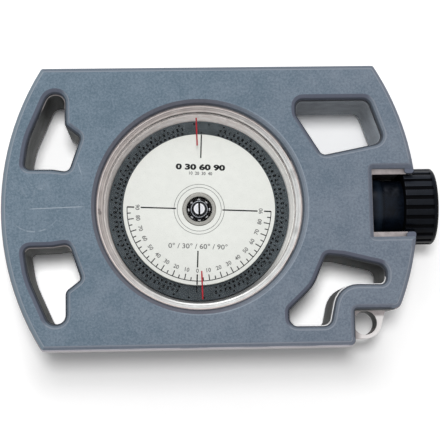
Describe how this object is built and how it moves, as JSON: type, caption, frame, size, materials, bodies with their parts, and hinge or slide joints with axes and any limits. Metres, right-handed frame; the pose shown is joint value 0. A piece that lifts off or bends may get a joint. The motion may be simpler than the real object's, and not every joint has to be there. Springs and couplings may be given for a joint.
{
  "type": "optical clinometer",
  "caption": "Hand-held sighting clinometer: a flat rubber-covered metal body with a free-turning weighted dial under a crystal, and a focusing eyepiece at one end.",
  "frame": {"origin": "on the dial's axis, in the plane of the back, at the middle of the rear cover's outer face", "axes": "+Z out of the dial along its axis, +X towards the eyepiece along the body's length, +Y towards the body's upper edge"},
  "size_m": [0.132, 0.0856, 0.026],
  "materials": {
    "skin_rubber": "soft matt blue-grey rubber",
    "cast_metal": "bare matt cast aluminium",
    "bezel_metal": "fine turned aluminium",
    "liner_metal": "matt pale anodised",
    "crystal_glass": "clear",
    "index_red": "printed",
    "seal_rubber": "matt",
    "cover_metal": "turned and clear anodised",
    "screw_steel": "turned",
    "bearing_steel": "ground",
    "cage_black": "moulded",
    "dial_white": "matt white enamel",
    "drum_dark": "dark grey print",
    "hub_metal": "turned",
    "weight_brass": "turned",
    "magnet_metal": "plated",
    "window_glass": "clear",
    "line_black": "printed",
    "barrel_black": "black anodised",
    "cap_black": "moulded, satin"
  },
  "bodies": {
    "housing": {"chassis": "cast_metal", "front_skin": "skin_rubber", "rear_skin": "skin_rubber", "capsule_liner": "liner_metal", "bezel_ring": "bezel_metal", "crystal": "crystal_glass", "index_lines": "index_red", "crystal_gasket": "seal_rubber", "rear_cover": "cover_metal", "rear_cover_screws": "screw_steel", "rear_cover_gasket": "seal_rubber", "pivot_post": "hub_metal", "pivot_screw": "screw_steel", "bearing_inner_ring": "bearing_steel", "damping_magnets": "magnet_metal", "scale_window": "window_glass", "window_gasket": "seal_rubber", "hairline": "line_black", "eyepiece_barrel": "barrel_black"},
    "wheel": {"dial_face": "dial_white", "scale_drum": "drum_dark", "dial_hub": "hub_metal", "counterweight": "weight_brass", "counterweight_screws": "screw_steel", "bearing_outer_ring": "bearing_steel"},
    "bearing_cage": {"ball_cage": "cage_black", "bearing_balls": "bearing_steel"},
    "lens_carrier": {"lens_cell": "barrel_black", "eye_lens": "window_glass", "lens_retainer": "barrel_black", "focus_o_ring": "seal_rubber"},
    "focus_ring": {"focus_cap": "cap_black", "cap_retaining_ring": "barrel_black"}
  },
  "joints": [
    {"name": "wheel_spin", "type": "hinge", "parent": "housing", "child": "wheel", "pos_m": [0, 0, 0.0153], "axis": [0, 0, 1], "continuous": true},
    {"name": "cage_spin", "type": "hinge", "parent": "housing", "child": "bearing_cage", "pos_m": [0, 0, 0.0153], "axis": [0, 0, 1], "continuous": true},
    {"name": "focus_slide", "type": "slide", "parent": "housing", "child": "lens_carrier", "axis": [1, 0, 0], "range_m": [-0.001, 0.002]},
    {"name": "focus_turn", "type": "hinge", "parent": "lens_carrier", "child": "focus_ring", "pos_m": [0.0624, 0.0003, 0.013], "axis": [1, 0, 0], "range_deg": [-90.5, 180.5]}
  ],
  "couplings": [
    {"joint": "cage_spin", "follows": "wheel_spin", "ratio": 0.62215},
    {"joint": "focus_turn", "follows": "focus_slide", "rad_per_m": 1570.8}
  ]
}
